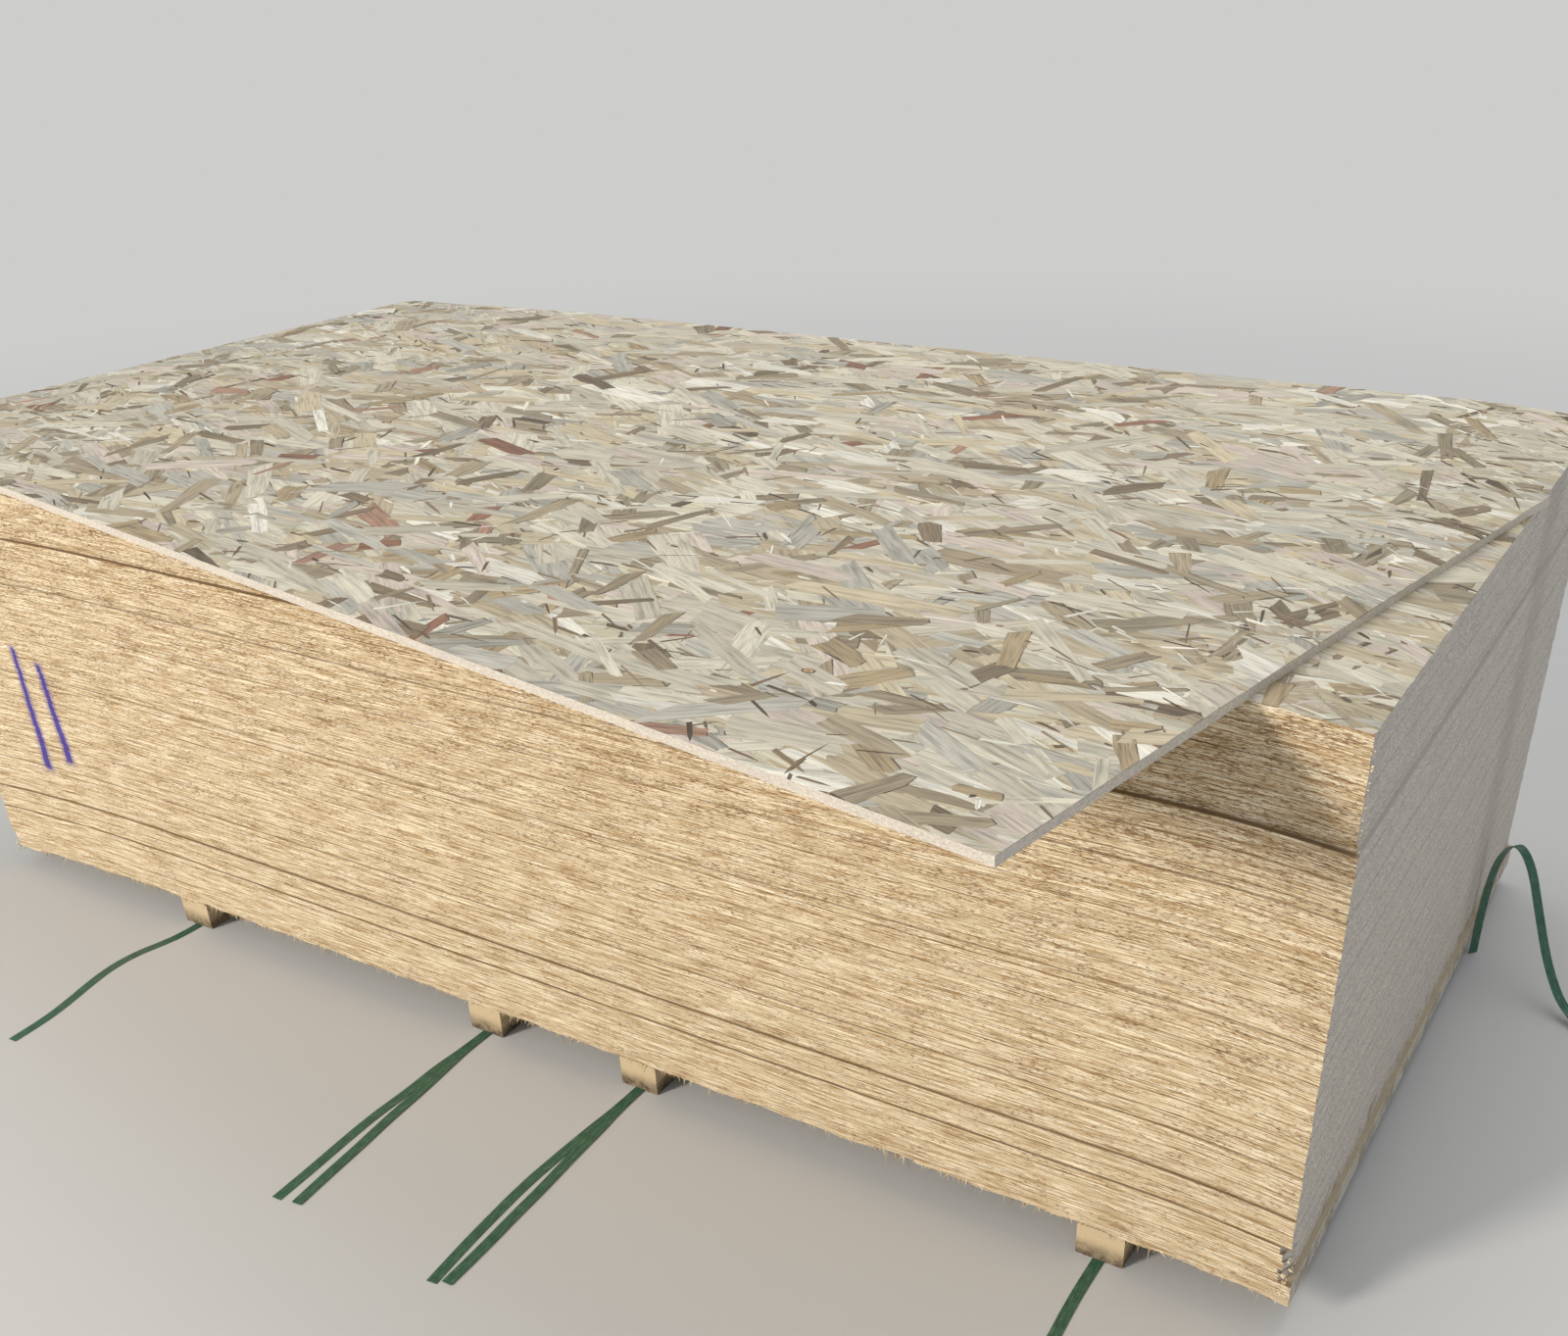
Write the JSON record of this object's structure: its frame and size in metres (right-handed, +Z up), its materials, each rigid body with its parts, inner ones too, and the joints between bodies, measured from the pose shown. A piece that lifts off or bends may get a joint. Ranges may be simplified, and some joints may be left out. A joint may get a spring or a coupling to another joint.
{
  "type": "stack of osb panels",
  "caption": "Stack of oriented strand board sheets in two packs on timber bearers, with a loose top sheet turned askew and cut strapping bands at its foot.",
  "frame": {"origin": "on the floor under the middle of the box round the sheets and bearers, without the straps", "axes": "+X along the sheets' length, -Y towards the side that the loose top sheet overhangs, +Z up"},
  "size_m": [2.8431, 1.6873, 0.8124],
  "materials": {
    "osb_board": "raw pressed strands, sawn edges",
    "bearer_timber": "rough sawn softwood, dirty at the foot",
    "strap_band": "dusty embossed plastic band"
  },
  "bodies": {
    "root": {"bearer_left": "bearer_timber", "bearer_inner_left": "bearer_timber", "bearer_inner_right": "bearer_timber", "bearer_right": "bearer_timber", "bottom_sheet": "osb_board", "lower_pack_sheets": "osb_board", "upper_pack_sheets": "osb_board", "top_sheet": "osb_board", "strap_left": "strap_band", "strap_inner_left": "strap_band", "strap_inner_left_top": "strap_band", "strap_inner_right": "strap_band", "strap_inner_right_top": "strap_band", "strap_right": "strap_band", "strap_bow": "strap_band"}
  },
  "joints": []
}
